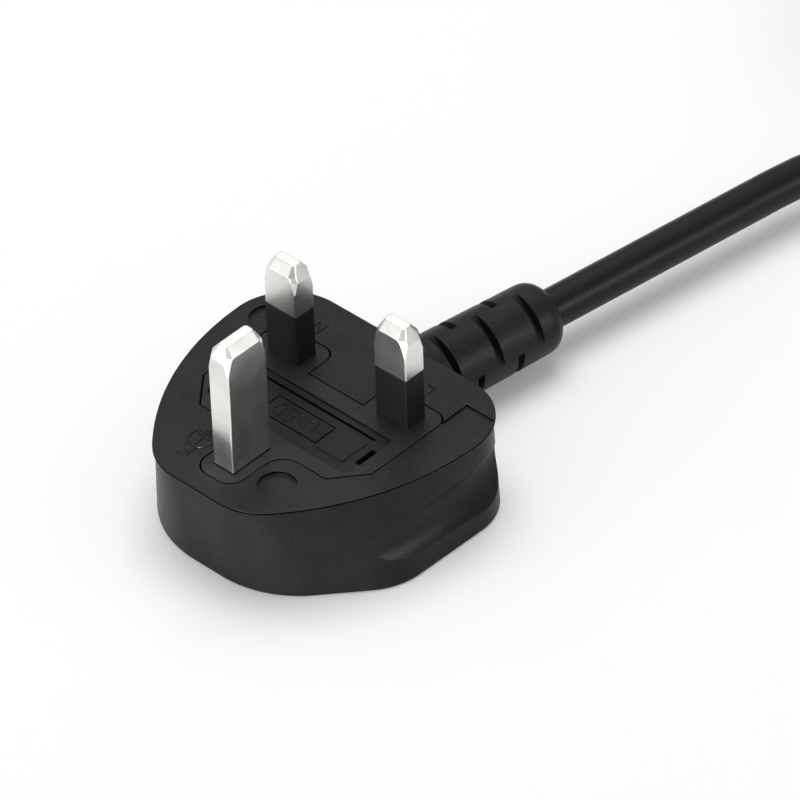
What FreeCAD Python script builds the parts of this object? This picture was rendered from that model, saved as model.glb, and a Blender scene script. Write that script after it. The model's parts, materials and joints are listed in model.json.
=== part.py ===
import FreeCAD, Part
import Sketcher
import math
import os
from types import SimpleNamespace

# UK three pin plug with a moulded-on lead, lying on its back with its pins up.
# The origin is on the back face under the earth pin's axis: +Y is towards the cord, +X towards the line pin.
# Sizes are in millimetres and degrees.
sizes = {
    # Rim of the pin face in plan, from the earth pin's axis
    "body_height": 16.6,
    "earth_end": 9.95,
    "cord_end": 34.65,
    "front_half": 9.2,
    "shoulder_half": 23.95,
    "shoulder_row": 6.72,
    "rear_half": 24.68,
    "front_corner": 10.0,
    "side_radius": 46.0,
    "rear_corner": 10.0,
    "lip_height": 0.4,
    "lip_step": 0.4,
    # The wider back that the side walls flare out to
    "base_front": 8.5,
    "base_front_half": 11.0,
    "base_flare": 0.94,
    "base_front_corner": 18.0,
    "base_shoulder": 10.4,
    "base_round": 0.5,
    # Finger scoops in the side walls
    "scoop_radius": 5.2,
    "scoop_ring": 60.0,
    "scoop_side": 32.24,
    "scoop_row": 16.93,
    "scoop_height": 8.16,
    # Shallow marks on the pin face
    "dimple_radius": 3.0,
    "dimple_depth": 0.55,
    "dimple_side": 8.4,
    "dimple_front": 1.4,
    "rear_dimple_side": 19.2,
    "rear_dimple_row": 25.6,
    "plate_wide": 5.5,
    "plate_long": 5.6,
    "plate_row": 24.6,
    "plate_depth": 0.35,
    # Pins
    "pin_spread": 22.23,
    "pin_setback": 22.23,
    "earth_wide": 8.0,
    "earth_thick": 4.0,
    "earth_out": 22.73,
    "blade_wide": 6.35,
    "blade_thick": 4.0,
    "blade_out": 17.7,
    "tip_inset": 1.15,
    "tip_height": 2.3,
    "tip_broad_height": 1.45,
    "tip_corner": 0.35,
    "tip_facet": 0.75,
    "tip_rise": 2.0,
    "pin_edge": 0.15,
    "sleeve_out": 9.1,
    "sleeve_in": 3.0,
    "sleeve_wall": 0.5,
    "pin_gap": 0.03,
    # Bridge that carries the pins, with its walls beyond what it holds
    "bridge_depth": 11.1,
    "bridge_gap": 0.2,
    "tab_wall": 1.85,
    "tab_end_wall": 2.4,
    "tab_round": 2.8,
    "shoulder_round": 3.4,
    "front_wall": 2.5,
    "corner_cut_side": 4.4,
    "corner_cut_long": 5.3,
    "side_wall": 2.8,
    "lobe_wall": 2.24,
    "lobe_rear_wall": 1.77,
    "lobe_round": 2.2,
    "middle_wall": 2.9,
    # Fuse, its carrier and the well that takes them
    "fuse_row": 11.9,
    "fuse_length": 25.4,
    "fuse_diameter": 6.35,
    "fuse_seat": 0.05,
    "cap_length": 5.6,
    "cap_wall": 0.3,
    "tube_bore": 3.4,
    "element_diameter": 0.5,
    "well_end": 1.8,
    "well_half": 5.1,
    "well_round": 1.3,
    "carrier_gap": 0.15,
    "carrier_plate": 2.2,
    "carrier_sunk": 0.3,
    "groove_end": 2.2,
    "groove_row": 3.67,
    "groove_wide": 0.55,
    "groove_depth": 0.8,
    "frame_line": 0.25,
    "frame_depth": 0.25,
    "word_left": 5.7,
    "word_right": 6.0,
    "word_front": 2.67,
    "word_rear": 1.97,
    "square_end": 2.5,
    "square_wide": 5.5,
    "square_front": 3.1,
    "square_rear": 2.4,
    "square_height": 0.15,
    "notch_deep": 1.1,
    "notch_wide": 3.8,
    "cheek_end_gap": 0.7,
    "cheek_half_wide": 4.3,
    "cheek_below": 1.1,
    "cheek_gap": 0.06,
    # Fuse clips and crimped wiring
    "clip_strip": 0.5,
    "clip_wide": 4.6,
    "clip_gap": 0.12,
    "clip_arm": 5.4,
    "strap_tail": 1.6,
    "strap_wall": 0.585,
    "tenon_diameter": 2.0,
    "rivet_head": 0.5,
    "barrel_diameter": 2.8,
    "barrel_long": 3.6,
    "barrel_reach": 1.2,
    "tail_gap": 0.15,
    "core_diameter": 2.3,
    "conductor_diameter": 1.1,
    "core_pitch": 3.5,
    "core_bend": 2.6,
    "fan_start": 8.05,
    "core_gap": 0.12,
    # Boot, the strain relief that leaves the cord end of the moulding
    "boot_height": 7.5,
    "boot_lean": 8.4,
    "boot_length": 28.0,
    "boot_root": 12.7,
    "boot_tip": 11.7,
    "boot_round": 3.0,
    "boot_sunk": 5.0,
    "neck_long": 4.6,
    "neck_half": 9.0,
    "neck_low": 2.5,
    "neck_high": 0.4,
    "slot_wide": 1.25,
    "slot_deep": 1.7,
    "slot_first": 6.15,
    "slot_pitch": 8.0,
    "slot_turn": 40.0,
    # Cord and the length that is put away
    "cord_diameter": 6.5,
    "sheath_wall": 0.65,
    "sheath_gap": 0.05,
    "sheath_end": 2.0,
    "fold_radius": 19.5,
    "open_run": 62.0,
    "bend_side": 30.0,
    "bend_row": 152.0,
    "entry_row": 186.0,
    "hank_run": 52.0,
    "hank_near": 142.0,
    "hank_side": 4.85,
    "tie_thick": 0.8,
    "tie_wide": 10.0,
    "tie_gap": 0.1,
    "tail_sheath": 14.0,
    "tail_core": 30.0,
    "tail_bare": 7.0,
}

doc = FreeCAD.newDocument("plug")
sheet = doc.addObject("Spreadsheet::Sheet", "Sizes")
for row, (name, number) in enumerate(sizes.items(), 1):
    sheet.set(f"A{row}", name)
    sheet.set(f"B{row}", str(number))
    sheet.setAlias(f"B{row}", name)
doc.recompute()


class Size:
    """A number of the sheet, or a sum of them, with the expression that binds it."""

    def __init__(self, value, text):
        self.value = value
        self.text = text

    def __add__(self, other):
        other = as_size(other)
        return Size(self.value + other.value, f"({self.text} + {other.text})")

    def __sub__(self, other):
        other = as_size(other)
        return Size(self.value - other.value, f"({self.text} - {other.text})")

    def __mul__(self, other):
        other = as_size(other)
        return Size(self.value * other.value, f"({self.text} * {other.text})")

    def __truediv__(self, other):
        other = as_size(other)
        return Size(self.value / other.value, f"({self.text} / {other.text})")

    def __neg__(self):
        return Size(-self.value, f"(0 - {self.text})")


def as_size(number):
    return number if isinstance(number, Size) else Size(float(number), f"{float(number):.6f}")


s = SimpleNamespace(**{name: Size(float(sheet.get(name)), f"Sizes.{name}") for name in sizes})
zero = as_size(0)


def bind(item, prop, size):
    item.setExpression(prop, as_size(size).text)


def place(item, x=zero, y=zero, z=zero, axis=None, angle=0):
    """Put an object at a point of the part's frame, turned about one axis."""
    rotation = FreeCAD.Rotation(axis or FreeCAD.Vector(0, 0, 1), as_size(angle).value)
    base = FreeCAD.Vector(as_size(x).value, as_size(y).value, as_size(z).value)
    item.Placement = FreeCAD.Placement(base, rotation)
    for letter, size in zip("xyz", (x, y, z)):
        bind(item, f"Placement.Base.{letter}", size)
    if isinstance(angle, Size):
        bind(item, "Placement.Rotation.Angle", angle)


def new_body(label):
    body = doc.addObject("PartDesign::Body", label)
    body.Label = label
    return body


def sketch_on(body, name, role="XY_Plane", offset=zero, turn=None):
    """A sketch on an origin plane of its body, raised by an offset and turned about its own X."""
    sketch = body.newObject("Sketcher::SketchObject", name)
    plane = next(item for item in body.Origin.OriginFeatures if item.Role == role)
    sketch.AttachmentSupport = (plane, [""])
    sketch.MapMode = "FlatFace"
    if turn is not None:
        sketch.AttachmentOffset = FreeCAD.Placement(
            FreeCAD.Vector(), FreeCAD.Rotation(FreeCAD.Vector(1, 0, 0), turn.value))
        bind(sketch, "AttachmentOffset.Rotation.Angle", turn)
    bind(sketch, "AttachmentOffset.Base.z", offset)
    return sketch


def hold_point(sketch, line, end, x, y):
    """Hold one end of an edge at its distances from the sketch's origin."""
    for kind, size in (("DistanceX", x), ("DistanceY", y)):
        index = sketch.addConstraint(Sketcher.Constraint(kind, -1, 1, line, end, size.value))
        bind(sketch, f"Constraints[{index}]", size)


def polygon(sketch, corners):
    """A closed outline of straight edges through its corners."""
    corners = [(as_size(x), as_size(y)) for x, y in corners]
    count = len(corners)
    points = [FreeCAD.Vector(x.value, y.value, 0) for x, y in corners]
    edges = []
    for index, start in enumerate(points):
        line = Part.LineSegment(start, points[(index + 1) % count])
        edges.append(sketch.addGeometry(line, False))
    for index, (x, y) in enumerate(corners):
        following = edges[(index + 1) % count]
        sketch.addConstraint(Sketcher.Constraint("Coincident", edges[index], 2, following, 1))
        hold_point(sketch, edges[index], 1, x, y)


def fitted_radii(points, radii):
    """Corner radii, smaller where the arcs at both ends of an edge would need more than its length."""
    count = len(points)
    slopes = []
    for index, corner in enumerate(points):
        back, ahead = points[index - 1] - corner, points[(index + 1) % count] - corner
        slopes.append(math.tan((math.pi - back.getAngle(ahead)) / 2))
    shares = []
    for index, corner in enumerate(points):
        following = (index + 1) % count
        needed = radii[index].value * slopes[index] + radii[following].value * slopes[following]
        shares.append(min(1, edge_share * (points[following] - corner).Length / needed))
    held = [min(shares[index - 1], shares[index]) for index in range(count)]
    return [radius if share == 1 else radius * share for radius, share in zip(radii, held)]


def rounded_outline(sketch, corners, radii):
    """A closed outline with an arc at each corner, tangent to the straight edges that would meet there."""
    count = len(corners)
    points = [FreeCAD.Vector(x.value, y.value, 0) for x, y in corners]
    radii = fitted_radii(points, radii)
    starts, finishes, middles = [], [], []
    for index, corner in enumerate(points):
        back, ahead = points[index - 1] - corner, points[(index + 1) % count] - corner
        turn = math.pi - back.getAngle(ahead)
        radius = radii[index].value
        reach = radius * math.tan(turn / 2)
        back.normalize()
        ahead.normalize()
        starts.append(corner + back * reach)
        finishes.append(corner + ahead * reach)
        middles.append(corner + (back + ahead).normalize() * (radius / math.cos(turn / 2) - radius))
    arcs, lines, dots = [], [], []
    for index in range(count):
        following = (index + 1) % count
        arcs.append(sketch.addGeometry(Part.Arc(starts[index], middles[index], finishes[index]), False))
        lines.append(sketch.addGeometry(Part.LineSegment(finishes[index], starts[following]), False))
        dots.append(sketch.addGeometry(Part.Point(points[index]), True))
    for index, (x, y) in enumerate(corners):
        before = lines[index - 1]
        sketch.addConstraint(Sketcher.Constraint("Tangent", before, 2, arcs[index], 1))
        sketch.addConstraint(Sketcher.Constraint("Tangent", arcs[index], 2, lines[index], 1))
        sketch.addConstraint(Sketcher.Constraint("PointOnObject", dots[index], 1, before))
        sketch.addConstraint(Sketcher.Constraint("PointOnObject", dots[index], 1, lines[index]))
        hold_point(sketch, dots[index], 1, x, y)
        number = sketch.addConstraint(Sketcher.Constraint("Radius", arcs[index], radii[index].value))
        bind(sketch, f"Constraints[{number}]", radii[index])


def box_corners(low_x, high_x, low_y, high_y):
    return [(low_x, low_y), (high_x, low_y), (high_x, high_y), (low_x, high_y)]


def cut_box_corners(centre_x, centre_y, half_x, half_y, cut):
    """A rectangle whose four corners are cut off."""
    corners = []
    for sign_x, sign_y, order in ((1, -1, 0), (1, 1, 1), (-1, 1, 0), (-1, -1, 1)):
        along_x = (centre_x + (half_x - cut) * sign_x, centre_y + half_y * sign_y)
        along_y = (centre_x + half_x * sign_x, centre_y + (half_y - cut) * sign_y)
        corners += [along_y, along_x] if order else [along_x, along_y]
    return corners


def circle(sketch, x, y, radius):
    x, y = as_size(x), as_size(y)
    shape = Part.Circle(FreeCAD.Vector(x.value, y.value, 0), FreeCAD.Vector(0, 0, 1), radius.value)
    index = sketch.addGeometry(shape, False)
    number = sketch.addConstraint(Sketcher.Constraint("Radius", index, radius.value))
    bind(sketch, f"Constraints[{number}]", radius)
    hold_point(sketch, index, 3, x, y)


def raise_pad(body, sketch, name, length, midplane=False):
    pad = body.newObject("PartDesign::Pad", name)
    pad.Profile = sketch
    pad.Midplane = midplane
    bind(pad, "Length", length)
    return pad


def cut_pocket(body, sketch, name, length, upwards=False, midplane=False):
    """A pocket below its sketch, or above it; the body has to lose volume."""
    doc.recompute()
    before = body.Shape.Volume
    pocket = body.newObject("PartDesign::Pocket", name)
    pocket.Profile = sketch
    pocket.Reversed = upwards
    pocket.Midplane = midplane
    bind(pocket, "Length", length)
    doc.recompute()
    if not body.Shape.Volume < before:
        raise RuntimeError(f"{name} cuts nothing")
    return pocket


def round_edges(body, name, radius, wanted):
    """Fillet the edges of the body's last feature that the test picks."""
    doc.recompute()
    base = body.Tip
    picked = [f"Edge{index}" for index, edge in enumerate(base.Shape.Edges, 1) if wanted(edge)]
    if not picked:
        raise RuntimeError(f"{name} finds no edge")
    fillet = body.newObject("PartDesign::Fillet", name)
    fillet.Base = (base, picked)
    bind(fillet, "Radius", radius)
    doc.recompute()
    return fillet


def upright_at(corners):
    """A test for straight upright edges at the given corners in plan."""
    spots = [(as_size(x).value, as_size(y).value) for x, y in corners]

    def wanted(edge):
        ends = [vertex.Point for vertex in edge.Vertexes]
        if len(ends) != 2 or math.hypot(ends[0].x - ends[1].x, ends[0].y - ends[1].y) > tolerance:
            return False
        return any(math.hypot(ends[0].x - x, ends[0].y - y) < tolerance for x, y in spots)

    return wanted


def primitive(body, kind, name, radius, height, x, y, z, axis, angle):
    """A round primitive of a body, along a row axis."""
    item = body.newObject(f"PartDesign::{kind}", name)
    bind(item, "Radius", radius)
    bind(item, "Height", height)
    place(item, x, y, z, axis, angle)
    return item


def cylinder(label, radius, height, x, y, z, axis=None, angle=0):
    item = doc.addObject("Part::Cylinder", label)
    item.Label = label
    bind(item, "Radius", radius)
    bind(item, "Height", height)
    place(item, x, y, z, axis, angle)
    return item


def block(label, long_x, long_y, long_z, x, y, z):
    item = doc.addObject("Part::Box", label)
    item.Label = label
    for prop, size in zip(("Length", "Width", "Height"), (long_x, long_y, long_z)):
        bind(item, prop, size)
    place(item, x, y, z)
    return item


def fuse(label, items):
    item = doc.addObject("Part::MultiFuse", label)
    item.Label = label
    item.Shapes = items
    item.Refine = True
    return item


def cut(label, base, tool):
    item = doc.addObject("Part::Cut", label)
    item.Label = label
    item.Base = base
    item.Tool = tool
    item.Refine = True
    return item


tolerance = 1e-4
bend_share = 0.45
edge_share = 0.98
volume_slack = 0.01
scoop_least = 100
axis_x = FreeCAD.Vector(1, 0, 0)
axis_y = FreeCAD.Vector(0, 1, 0)
axis_z = FreeCAD.Vector(0, 0, 1)

# Levels and rows that several pieces share
face = s.body_height
bridge_base = face - s.bridge_depth
well_floor = bridge_base + s.clip_strip
fuse_level = well_floor + s.fuse_seat + s.fuse_diameter / 2
wire_level = bridge_base - s.barrel_diameter / 2
blade_side = s.pin_spread / 2
well_half_long = s.fuse_length / 2 + s.well_end
clip_offset = (s.fuse_length - s.clip_wide) / 2
well_front = s.fuse_row - s.well_half
well_rear = s.fuse_row + s.well_half
shank_half_wide = s.blade_wide / 2 - s.sleeve_wall
shank_half_thick = s.blade_thick / 2 - s.sleeve_wall


def mirrored(right):
    """An outline that is the same on both sides, from its right half; it turns left from the earth end."""
    return [(-right[0][0], right[0][1])] + right + [(-x, y) for x, y in reversed(right[1:])]


def mirrored_list(right):
    return [right[0]] + right + right[:0:-1]


def bridge_corners(gap):
    """The bridge's outline on the pin face, grown by a gap; it starts at the earth tab and turns left."""
    tab = s.earth_thick / 2 + s.tab_wall + gap
    tab_end = -(s.earth_wide / 2 + s.tab_end_wall + gap)
    front = well_front - s.front_wall - gap
    side = blade_side + s.blade_wide / 2 + s.side_wall + gap
    rear = s.pin_setback + s.blade_thick / 2 + s.lobe_rear_wall + gap
    lobe = blade_side - s.blade_wide / 2 - s.lobe_wall - gap
    middle = well_rear + s.middle_wall + gap
    right = [(tab, tab_end), (tab, front), (side - s.corner_cut_side, front),
             (side, front + s.corner_cut_long), (side, rear), (lobe, rear), (lobe, middle)]
    return right + [(-x, y) for x, y in reversed(right)]


def round_bridge(body, name, gap):
    """Round the bridge's upright corners: the tab's end, its shoulders and the pin lobes."""
    corners = bridge_corners(gap)
    last = len(corners) - 1
    for suffix, radius, numbers in (("tab", s.tab_round, (0,)), ("shoulder", s.shoulder_round, (1,)),
                                    ("lobe", s.lobe_round, (4, 5))):
        picked = [corners[number] for number in numbers] + [corners[last - number] for number in numbers]
        round_edges(body, f"{name}_{suffix}", radius, upright_at(picked))


# Outer moulding: side walls that flare from the pin face to the back, under a thin overhanging rim
shell = new_body("shell")
wall_top = face - s.lip_height
step = s.lip_step
rim_right = [(s.front_half, -s.earth_end), (s.shoulder_half, s.shoulder_row), (s.rear_half, s.cord_end)]
wall_right = [(s.front_half - step / 2, step - s.earth_end),
              (s.shoulder_half - step, s.shoulder_row + step / 2),
              (s.rear_half - step, s.cord_end - step)]


def parallel_to(start, first, second, share):
    """The end of an edge that starts at a point and runs along another edge, for a share of its length."""
    return start[0] + (second[0] - first[0]) * share, start[1] + (second[1] - first[1]) * share


base_front = (s.base_front_half, -s.base_front)
base_shoulder = parallel_to(base_front, wall_right[0], wall_right[1], s.base_flare)
rear_share = (wall_right[2][1] - base_shoulder[1]) / (wall_right[2][1] - wall_right[1][1])
base_rear = parallel_to(base_shoulder, wall_right[1], wall_right[2], rear_share)
rim_corners = mirrored(rim_right)
wall_corners = mirrored(wall_right)
base_corners = mirrored([base_front, base_shoulder, base_rear])
rim_radii = mirrored_list([s.front_corner, s.side_radius, s.rear_corner])
wall_radii = [radius - step for radius in rim_radii]
base_radii = mirrored_list([s.base_front_corner, s.base_shoulder, s.rear_corner - step])
rim_sketch = sketch_on(shell, "rim_outline", offset=wall_top)
rounded_outline(rim_sketch, rim_corners, rim_radii)
raise_pad(shell, rim_sketch, "rim", s.lip_height)
base_sketch = sketch_on(shell, "base_outline")
rounded_outline(base_sketch, base_corners, base_radii)
wall_sketch = sketch_on(shell, "wall_outline", offset=wall_top)
rounded_outline(wall_sketch, wall_corners, wall_radii)
wall = shell.newObject("PartDesign::AdditiveLoft", "wall")
wall.Profile = base_sketch
wall.Sections = [wall_sketch]
wall.Ruled = True
round_edges(shell, "base_edge", s.base_round, lambda edge: edge.BoundBox.ZMax < tolerance)

# The cavity that holds the bridge, with a pocket under it for each crimped tail
cavity_sketch = sketch_on(shell, "cavity_outline", offset=face)
polygon(cavity_sketch, bridge_corners(s.bridge_gap))
cut_pocket(shell, cavity_sketch, "cavity", s.bridge_depth)
round_bridge(shell, "cavity", s.bridge_gap)
tail_half = s.barrel_diameter / 2 + s.tail_gap
tail_reach = s.barrel_reach + s.barrel_long
shank_side = shank_half_wide + s.tail_gap
neutral_mouth = shank_half_wide - blade_side + s.barrel_reach
load_mouth = s.clip_wide / 2 - clip_offset + s.barrel_reach
earth_mouth = s.earth_wide / 2 + s.barrel_reach
earth_half = s.earth_thick / 2 + s.tail_gap
tenon_half = s.tenon_diameter / 2 + s.tail_gap
tail_rows = {
    "neutral_tail": (-(blade_side + shank_side), neutral_mouth + s.tail_gap,
                     s.pin_setback - shank_half_thick - s.tail_gap,
                     s.pin_setback + shank_half_thick + s.tail_gap),
    "load_tail": (-(clip_offset + s.clip_wide / 2 + s.tail_gap), load_mouth + s.tail_gap,
                  s.fuse_row - tail_half, s.fuse_row + tail_half),
    "earth_tail": (-earth_half, earth_half, -(s.earth_wide / 2 + s.tail_gap), earth_mouth + s.tail_gap),
    "line_tail": (blade_side - tenon_half, blade_side + tenon_half,
                  s.pin_setback - tenon_half, s.pin_setback + tenon_half),
}
for name, limits in tail_rows.items():
    tail_sketch = sketch_on(shell, f"{name}_outline", offset=bridge_base)
    polygon(tail_sketch, box_corners(*limits))
    cut_pocket(shell, tail_sketch, name, s.barrel_diameter + s.tail_gap)

# Shallow bare recesses on the pin face: two round dimples and a small plate
mark_sketch = sketch_on(shell, "dimple_outline", offset=face)
circle(mark_sketch, s.dimple_side, -s.dimple_front, s.dimple_radius)
circle(mark_sketch, -s.rear_dimple_side, s.rear_dimple_row, s.dimple_radius)
cut_pocket(shell, mark_sketch, "dimples", s.dimple_depth)
plate_left = blade_side + s.blade_wide / 2 + s.side_wall
plate_sketch = sketch_on(shell, "plate_outline", offset=face)
polygon(plate_sketch, box_corners(plate_left, plate_left + s.plate_wide,
                                  s.plate_row, s.plate_row + s.plate_long))
cut_pocket(shell, plate_sketch, "plate", s.plate_depth)

# Finger scoops: a ring, wider than the body, that dips into the side wall
scoop = doc.addObject("Part::Torus", "scoop")
bind(scoop, "Radius1", s.scoop_ring)
bind(scoop, "Radius2", s.scoop_radius)
place(scoop, -s.scoop_side, s.scoop_row, s.scoop_height)
far_scoop = doc.addObject("Part::Mirroring", "far_scoop")
far_scoop.Source = scoop
far_scoop.Normal = axis_x
scooped = cut("scooped", cut("half_scooped", shell, scoop), far_scoop)
doc.recompute()
if not scooped.Shape.Volume < shell.Shape.Volume - scoop_least:
    raise RuntimeError("the scoops cut nothing")

# Boot: a tapered sleeve with two sets of slots, a quarter turn and half a pitch apart
boot = new_body("boot")
boot_angle = as_size(90) - s.boot_lean
place(boot, zero, s.cord_end, s.boot_height, axis_z, boot_angle)
boot_sketch = sketch_on(boot, "boot_outline")
polygon(boot_sketch, [(-s.boot_sunk, zero), (s.boot_length, zero), (s.boot_length, s.boot_tip / 2),
                      (-s.boot_sunk, s.boot_root / 2)])
sleeve = boot.newObject("PartDesign::Revolution", "boot_sleeve")
sleeve.Profile = boot_sketch
sleeve.ReferenceAxis = (boot_sketch, ["H_Axis"])
sleeve.Angle = 360
boot_end = s.boot_length.value
round_edges(boot, "boot_end", s.boot_round, lambda edge: edge.BoundBox.XMin > boot_end - tolerance)
slot_floor = s.boot_tip / 2 - s.slot_deep
slot_top = s.boot_root
for name, turn, first in (("near_slots", s.slot_turn, s.slot_first),
                          ("far_slots", s.slot_turn + 90, s.slot_first + s.slot_pitch / 2)):
    room = (s.boot_length - s.boot_round - first).value
    for number in range(math.floor(room / s.slot_pitch.value) + 1):
        middle = first + s.slot_pitch * number
        for side in (0, 180):
            slot_sketch = sketch_on(boot, f"{name}_{number}_{side}", turn=turn + 90 + side)
            polygon(slot_sketch, box_corners(middle - s.slot_wide / 2, middle + s.slot_wide / 2,
                                             slot_floor, slot_top))
            cut_pocket(boot, slot_sketch, f"{name}_{number}_{side}_cut", slot_top * 2, midplane=True)

# Neck: the moulding's cord end runs down into the boot
lean = math.radians(s.boot_lean.value)
cord_way = FreeCAD.Vector(math.sin(lean), math.cos(lean), 0)
boot_start = FreeCAD.Vector(0, s.cord_end.value, s.boot_height.value)
neck_root = doc.addObject("Part::Ellipse", "neck_root")
neck_half_high = (face - s.neck_low - s.neck_high) / 2
bind(neck_root, "MajorRadius", s.neck_half)
bind(neck_root, "MinorRadius", neck_half_high)
place(neck_root, zero, s.cord_end - s.lip_step * 2, s.neck_low + neck_half_high, axis_x, 90)
neck_end = doc.addObject("Part::Circle", "neck_end")
bind(neck_end, "Radius", s.boot_tip / 2)
neck_end.Placement = FreeCAD.Placement(
    boot_start + cord_way * s.neck_long.value,
    FreeCAD.Rotation(axis_z, -s.boot_lean.value).multiply(FreeCAD.Rotation(axis_x, 90)))
neck = doc.addObject("Part::Loft", "neck")
neck.Sections = [neck_root, neck_end]
neck.Solid = True


def along_boot(distance, offset=FreeCAD.Vector()):
    """A point on the boot's axis, moved across it."""
    side_way = FreeCAD.Vector(cord_way.y, -cord_way.x, 0)
    return boot_start + cord_way * distance + side_way * offset.x + axis_z * offset.z


def rounded_path(points):
    """Straight runs joined by tangent arcs, each as large as its shorter run allows; also its radii."""
    edges, radii = [], []
    start = points[0]
    for before, corner, after in zip(points, points[1:], points[2:]):
        back, ahead = (before - corner), (after - corner)
        turn = math.pi - back.getAngle(ahead)
        reach = bend_share * min(back.Length, ahead.Length)
        radii.append(reach / math.tan(turn / 2))
        back.normalize()
        ahead.normalize()
        arc_start, arc_end = corner + back * reach, corner + ahead * reach
        inward = (back + ahead).normalize()
        depth = radii[-1] / math.cos(turn / 2) - radii[-1]
        edges.append(Part.LineSegment(start, arc_start).toShape())
        edges.append(Part.Arc(arc_start, corner + inward * depth, arc_end).toShape())
        start = arc_end
    edges.append(Part.LineSegment(start, points[-1]).toShape())
    return Part.Wire(edges), radii


def tube(path, radius):
    """A round solid along a path; its volume has to be its section times its length."""
    start = path.Edges[0].Vertexes[0].Point
    way = path.Edges[0].tangentAt(path.Edges[0].FirstParameter)
    ring = Part.Wire([Part.Circle(start, way, radius).toShape()])
    solid = path.makePipeShell([ring], True, False)
    if abs(solid.Volume / (math.pi * radius ** 2 * path.Length) - 1) > volume_slack:
        raise RuntimeError("the tube's volume isn't its section times its length")
    return solid


def feature(label, shape):
    item = doc.addObject("Part::Feature", label)
    item.Label = label
    item.Shape = shape
    item.Placement = FreeCAD.Placement()
    return item


# Cores: from the boot's end to their crimps, a triangle inside the sheath, then side by side under the bridge
core_radius = s.core_diameter.value / 2
conductor_radius = s.conductor_diameter.value / 2
core_ring = (s.core_diameter.value + s.core_gap.value) / math.sqrt(3)
core_rise, core_slump = core_ring / 2, -core_ring
core_side = core_ring * math.sqrt(3) / 2
core_level = wire_level.value
bend_start = (s.sheath_end + s.core_bend).value
fan_row = (s.cord_end - s.fan_start).value
pitch = s.core_pitch.value
fuse_row = s.fuse_row.value
blade_row = s.pin_setback.value


def core_point(x, y):
    return FreeCAD.Vector(x, y, core_level)


core_routes = {
    "neutral": (FreeCAD.Vector(-core_side, 0, core_rise),
                [core_point(-pitch, fan_row), core_point(-pitch, blade_row),
                 core_point(neutral_mouth.value, blade_row)]),
    "line": (FreeCAD.Vector(0, 0, core_slump),
             [core_point(0, fan_row), core_point(0, fuse_row), core_point(load_mouth.value, fuse_row)]),
    "earth": (FreeCAD.Vector(core_side, 0, core_rise),
              [core_point(pitch, fan_row), core_point(pitch, fuse_row - pitch / 2),
               core_point(0, earth_mouth.value + pitch / 2), core_point(0, earth_mouth.value)]),
}
channels = []
for name, (offset, stops) in core_routes.items():
    bend = bend_start + (core_radius if offset.z > 0 else 0)
    points = [along_boot(s.boot_length.value, offset), along_boot(-bend, offset)] + stops
    path, radii = rounded_path(points)
    print(f"{name} core radii", [round(radius, 2) for radius in radii])
    last_way = (points[-1] - points[-2]).normalize()
    bare_end = points[-1] + last_way * (s.barrel_long.value - s.barrel_reach.value)
    conductor = tube(path, conductor_radius).fuse(
        Part.makeCylinder(conductor_radius, bare_end.distanceToPoint(points[-1]), points[-1], last_way))
    feature(f"{name}_conductor", conductor.removeSplitter())
    feature(f"{name}_core", tube(path, core_radius).cut(tube(path, conductor_radius)))
    channels.append(feature(f"{name}_channel", tube(path, core_radius + s.core_gap.value)))

# The moulding is one piece: body, neck and boot, with the cord's bore and its cores' channels
sheath_turn = FreeCAD.Rotation(axis_z, -s.boot_lean.value).multiply(FreeCAD.Rotation(axis_x, -90))


def on_boot_axis(label, radius, first, length):
    """A cylinder along the boot's axis."""
    item = doc.addObject("Part::Cylinder", label)
    item.Label = label
    bind(item, "Radius", radius)
    bind(item, "Height", length)
    item.Placement = FreeCAD.Placement(along_boot(first.value), sheath_turn)
    return item


sheath_radius = s.cord_diameter / 2
sheath_long = s.boot_length + s.sheath_end
bore = on_boot_axis("cord_bore", sheath_radius + s.sheath_gap, -(s.sheath_end + s.sheath_gap),
                    sheath_long + s.sheath_gap)
solid_moulding = fuse("solid_moulding", [scooped, neck, boot])
cut("outer_moulding", solid_moulding, fuse("hollows", [bore] + channels))

# End of the sheath inside the boot
cut("cord_sheath_end", on_boot_axis("sheath_outside", sheath_radius, -s.sheath_end, sheath_long),
    on_boot_axis("sheath_inside", sheath_radius - s.sheath_wall, -s.sheath_end, sheath_long))

# Pin bridge: a T-shaped block with the fuse well, a slot for each pin and channels for the clips' straps
bridge = new_body("pin_bridge")
bridge_sketch = sketch_on(bridge, "bridge_outline", offset=bridge_base)
polygon(bridge_sketch, bridge_corners(zero))
raise_pad(bridge, bridge_sketch, "bridge_block", s.bridge_depth)
round_bridge(bridge, "bridge", zero)
well_corners = box_corners(-well_half_long, well_half_long, well_front, well_rear)
well_sketch = sketch_on(bridge, "well_outline", offset=face)
polygon(well_sketch, well_corners)
cut_pocket(bridge, well_sketch, "well", face - well_floor)
round_edges(bridge, "well_corner", s.well_round, upright_at(well_corners))
earth_slot = sketch_on(bridge, "earth_slot", offset=face)
polygon(earth_slot, cut_box_corners(zero, zero, s.earth_thick / 2 + s.pin_gap, s.earth_wide / 2 + s.pin_gap,
                                    s.pin_edge))
cut_pocket(bridge, earth_slot, "earth_hole", s.bridge_depth)
for name, side in (("line", 1), ("neutral", -1)):
    mouth = sketch_on(bridge, f"{name}_sleeve_slot", offset=face)
    polygon(mouth, cut_box_corners(blade_side * side, s.pin_setback, s.blade_wide / 2 + s.pin_gap,
                                   s.blade_thick / 2 + s.pin_gap, s.pin_edge))
    cut_pocket(bridge, mouth, f"{name}_sleeve_hole", s.sleeve_in + s.pin_gap)
    throat = sketch_on(bridge, f"{name}_slot", offset=face)
    polygon(throat, cut_box_corners(blade_side * side, s.pin_setback, shank_half_wide + s.pin_gap,
                                    shank_half_thick + s.pin_gap, s.pin_edge))
    cut_pocket(bridge, throat, f"{name}_hole", s.bridge_depth)
clip_low = clip_offset - s.clip_wide / 2
clip_high = clip_offset + s.clip_wide / 2
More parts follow.
